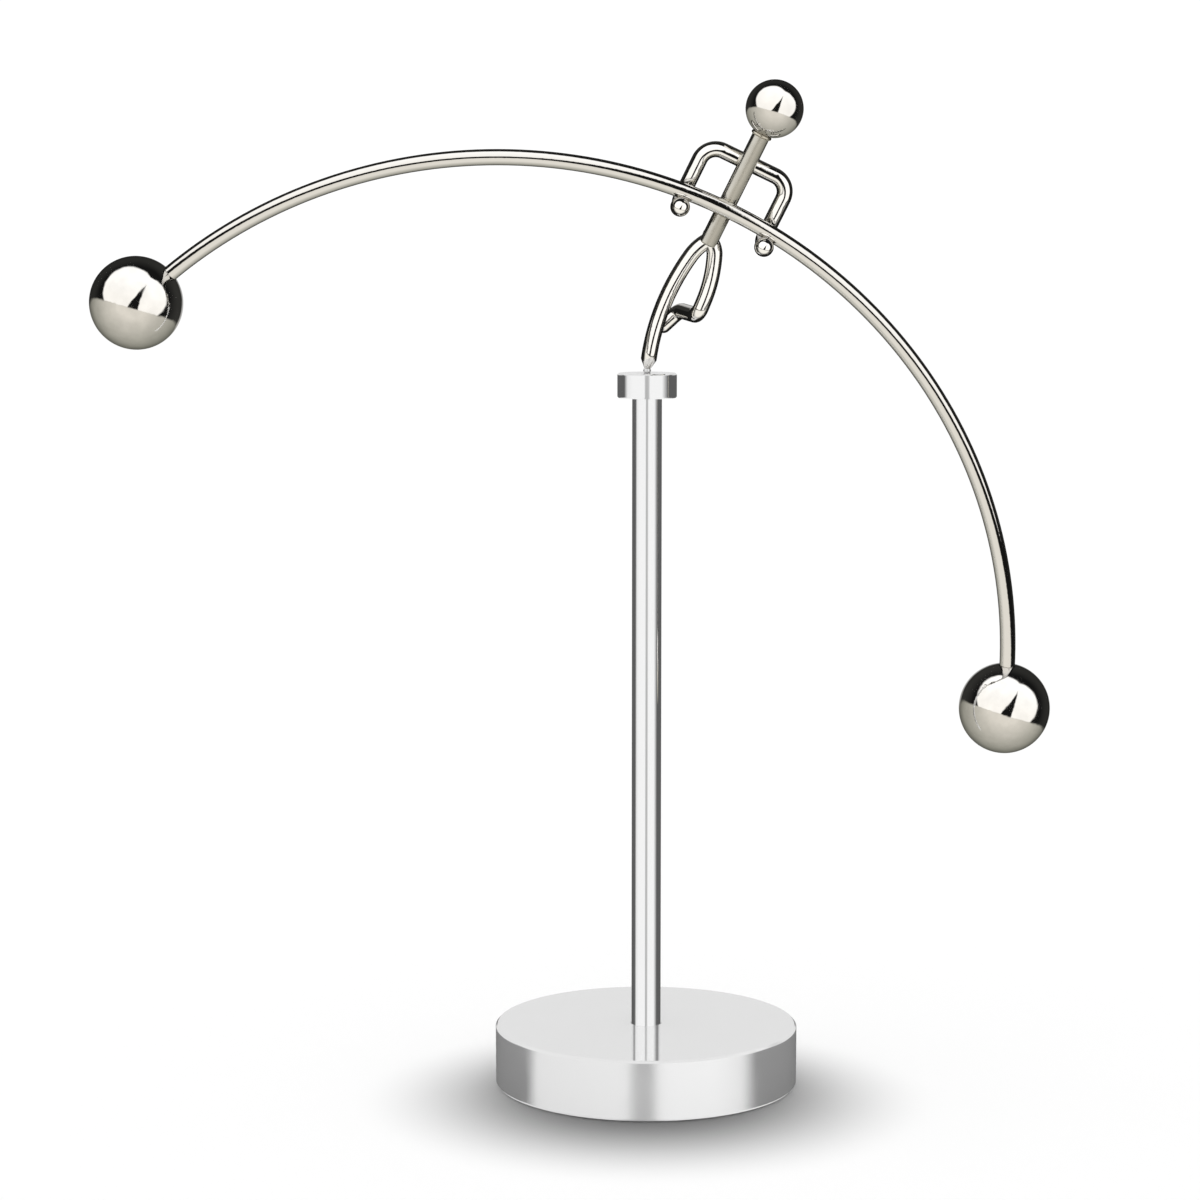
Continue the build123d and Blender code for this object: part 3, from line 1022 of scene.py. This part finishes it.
class LIFTER_OT_legs(bpy.types.Operator):
    """Draws the bowed standing leg and the bent raised leg from wire"""

    bl_idname = "lifter.legs"
    bl_label = "Legs"

    def execute(self, context):
        sizes = context.scene.lifter_figure
        crown = Vector((sizes.midline, 0, sizes.hip_level))
        slope = Vector((-math.sin(sizes.ankle_splay), 0, math.cos(sizes.ankle_splay)))

        hollow = sizes.toe_gap
        wire = Wire("bowed_leg", slope * hollow * HOLLOW_DEPTH, slope, hollow * HOLLOW_FLAT)
        for share in HOLLOW_RINGS:
            level = hollow * math.sqrt(1 - share**2)
            wire.taper(level - wire.end.length, hollow * share)
        wire.taper(sizes.ankle - wire.end.length, sizes.wire)
        hip = Vector((sizes.midline - sizes.hip_out, 0, sizes.hip_level - sizes.hip_drop))
        wire.arc_to(hip, step_degrees=2)
        wire.arc_to(crown)
        leg = wire.close()
        finish_on_figure(leg, sizes, "wire_chrome", "standing_leg")

        hip = Vector((sizes.midline + sizes.thigh_out, 0, sizes.hip_level - sizes.thigh_drop))
        knee_x = sizes.midline + sizes.knee_out
        thigh_end = Vector((knee_x, 0, sizes.knee_level + sizes.knee_bend))
        down = Vector((sizes.thigh_splay, 0, -1)).normalized()
        turn = 2 * (-down).angle(crown - hip)
        crown_heading = Matrix.Rotation(turn, 3, (-down).cross(crown - hip).normalized()) @ -down
        wire = Wire("bent_leg", crown, -crown_heading, sizes.wire)
        wire.arc_to(hip)
        wire.arc_to(thigh_end, step_degrees=2)
        knee = thigh_end + wire.heading * sizes.knee_bend
        heel = knee + Vector(sizes.shin)
        toes = heel + Vector(sizes.foot)
        wire.corner(knee, heel, sizes.knee_radius)
        wire.corner(heel, toes, sizes.knee_radius)
        wire.run((toes - wire.end).length)
        wire.round_end()
        leg = wire.close()
        finish_on_figure(leg, sizes, "wire_chrome", "raised_leg")
        return {"FINISHED"}


class LIFTER_OT_torso(bpy.types.Operator):
    """Turns the torso rod, with an eased edge at each end"""

    bl_idname = "lifter.torso"
    bl_label = "Torso"

    def execute(self, context):
        sizes = context.scene.lifter_figure
        foot = sizes.hip_level - sizes.torso_lap
        top = sizes.head_level - sizes.head + sizes.neck
        ease = sizes.torso_ease
        start = (sizes.midline, -sizes.torso_forward, foot)
        wire = Wire("torso_rod", start, UP, sizes.torso - ease, sides=48)
        wire.taper(ease, sizes.torso)
        wire.run(top - foot - 2 * ease)
        wire.taper(ease, sizes.torso - ease)
        torso = wire.close()
        soften(torso, sizes.torso_round)
        finish_on_figure(torso, sizes, "satin_rod", "torso")
        return {"FINISHED"}


class LIFTER_OT_arms(bpy.types.Operator):
    """Bends both arms from one wire and puts a bead on each hook"""

    bl_idname = "lifter.arms"
    bl_label = "Arms and hands"

    def execute(self, context):
        sizes = context.scene.lifter_figure
        bar = context.scene.lifter_bar
        centre = bar_centre(sizes, bar)
        arms_y = -sizes.torso_forward + sizes.torso + sizes.wire - sizes.seat
        reach = sizes.arm_reach
        bar_level = centre.z + math.sqrt(bar.bend**2 - reach**2)
        hook = bar_level - bar.bar - sizes.wire + sizes.seat
        front = centre.y - sizes.hand_forward
        left = sizes.midline + sizes.arms_shift - reach
        right = sizes.midline + sizes.arms_shift + reach
        shoulder = sizes.shoulder_level
        corners = [
            Vector(spot)
            for spot in (
                (left, arms_y, hook), (left, arms_y, shoulder), (right, arms_y, shoulder),
                (right, arms_y, hook), (right, front, hook),
            )
        ]
        bends = (sizes.wrist_bend, sizes.shoulder_bend, sizes.shoulder_bend, sizes.wrist_bend)
        wire = Wire("arms_wire", (left, front, hook), BACK, sizes.wire)
        for corner, after, bend in zip(corners, corners[1:], bends):
            wire.corner(corner, after, bend)
        wire.run((corners[-1] - wire.end).length)
        arms = wire.close()
        finish_on_figure(arms, sizes, "wire_chrome", "arms")

        for side, x in (("left", left), ("right", right)):
            hand = drilled_ball(
                f"{side}_hand_bead", Vector((x, front, hook)), sizes.hand, BACK,
                sizes.wire, sizes.hand_mouth, sizes.hand_socket, sides=48,
            )
            finish_on_figure(hand, sizes, "wire_chrome", f"{side}_hand")
        return {"FINISHED"}


class LIFTER_OT_bar(bpy.types.Operator):
    """Bends the balance bar to one radius"""

    bl_idname = "lifter.bar"
    bl_label = "Balance bar"

    def execute(self, context):
        sizes = context.scene.lifter_figure
        bar = context.scene.lifter_bar
        centre = bar_centre(sizes, bar)
        half = bar.socket_angle + bar.socket / 2 / bar.bend
        start = centre + Matrix.Rotation(-half, 3, "Y") @ UP * bar.bend
        heading = Matrix.Rotation(-half, 3, "Y") @ RIGHT
        wire = Wire("bent_bar", start, heading, bar.bar, sides=40)
        wire.bend(centre, BACK, 2 * half, step_degrees=1.2)
        piece = wire.close()
        finish_on_figure(piece, sizes, "wire_chrome", "balance_bar")
        return {"FINISHED"}


class LIFTER_OT_balls(bpy.types.Operator):
    """Drills the two end balls for the bar and the head for the torso"""

    bl_idname = "lifter.balls"
    bl_label = "Balls and head"

    def execute(self, context):
        sizes = context.scene.lifter_figure
        bar = context.scene.lifter_bar
        centre = bar_centre(sizes, bar)
        for side, sign in (("left", -1), ("right", 1)):
            swing = Matrix.Rotation(sign * bar.socket_angle, 3, "Y")
            along = swing @ RIGHT * sign
            ball_centre = centre + swing @ UP * bar.bend + along * (bar.ball - bar.socket / 2)
            ball = drilled_ball(
                f"{side}_weight", ball_centre, bar.ball, -along, bar.bar * BALL_FIT, bar.mouth,
                bar.socket / 2,
            )
            finish_on_figure(ball, sizes, "mirror_chrome", f"{side}_ball")
        head_centre = Vector((sizes.midline, -sizes.torso_forward, sizes.head_level))
        head = drilled_ball(
            "head_ball", head_centre, sizes.head, -UP, sizes.torso * HEAD_FIT, bar.mouth,
            sizes.neck / 2, sides=72,
        )
        finish_on_figure(head, sizes, "mirror_chrome", "head")
        return {"FINISHED"}


class LIFTER_OT_small_pieces(bpy.types.Operator):
    """Gives the small pieces that keep their frame shape their finishes"""

    bl_idname = "lifter.small_pieces"
    bl_label = "Small pieces"

    def execute(self, context):
        finishes = {
            "closed_cell_foam": ("base_pad",),
            "zinc_plate": ("base_screw", "base_washer"),
            "bearing_steel": ("bearing_cup", "toe_ball"),
            "silver_braze": ("chest_bead", "shoulder_bead", "hip_bead", "neck_bead"),
        }
        for finish, names in finishes.items():
            for name in names:
                for slot in frame["nodes"][name].material_slots:
                    slot.material = bpy.data.materials[finish]
        return {"FINISHED"}


STEPS = (
    LIFTER_OT_finishes, LIFTER_OT_base, LIFTER_OT_post, LIFTER_OT_legs, LIFTER_OT_torso,
    LIFTER_OT_arms, LIFTER_OT_bar, LIFTER_OT_balls, LIFTER_OT_small_pieces, LIFTER_OT_stage,
)
GROUPS = {
    "lifter_stand": StandSizes,
    "lifter_figure": FigureSizes,
    "lifter_bar": BarSizes,
    "lifter_colours": FinishColours,
}


class LIFTER_PT_panel(bpy.types.Panel):
    """Lists the pieces, the stage and their sizes and colours"""

    bl_idname = "LIFTER_PT_panel"
    bl_label = "Balancing lifter"
    bl_space_type = "VIEW_3D"
    bl_region_type = "UI"
    bl_category = "Lifter"

    def draw(self, context):
        """A button for each step, then the sizes and colours."""
        for step in STEPS:
            self.layout.operator(step.bl_idname)
        for name, group in GROUPS.items():
            box = self.layout.box()
            for size in group.__annotations__:
                box.prop(getattr(context.scene, name), size)


CLASSES = (*GROUPS.values(), *STEPS, LIFTER_PT_panel)


def register():
    """Registers the add-on's classes and gives the scene their sizes and colours."""
    for each in CLASSES:
        bpy.utils.register_class(each)
    for name, group in GROUPS.items():
        setattr(bpy.types.Scene, name, bpy.props.PointerProperty(type=group))


def unregister():
    """Takes away what register added."""
    for name in GROUPS:
        delattr(bpy.types.Scene, name)
    for each in reversed(CLASSES):
        bpy.utils.unregister_class(each)


def main():
    """Makes every piece and the stage in order."""
    register()
    for step in STEPS:
        family, name = step.bl_idname.split(".")
        getattr(getattr(bpy.ops, family), name)()


if __name__ == "__main__":
    main()
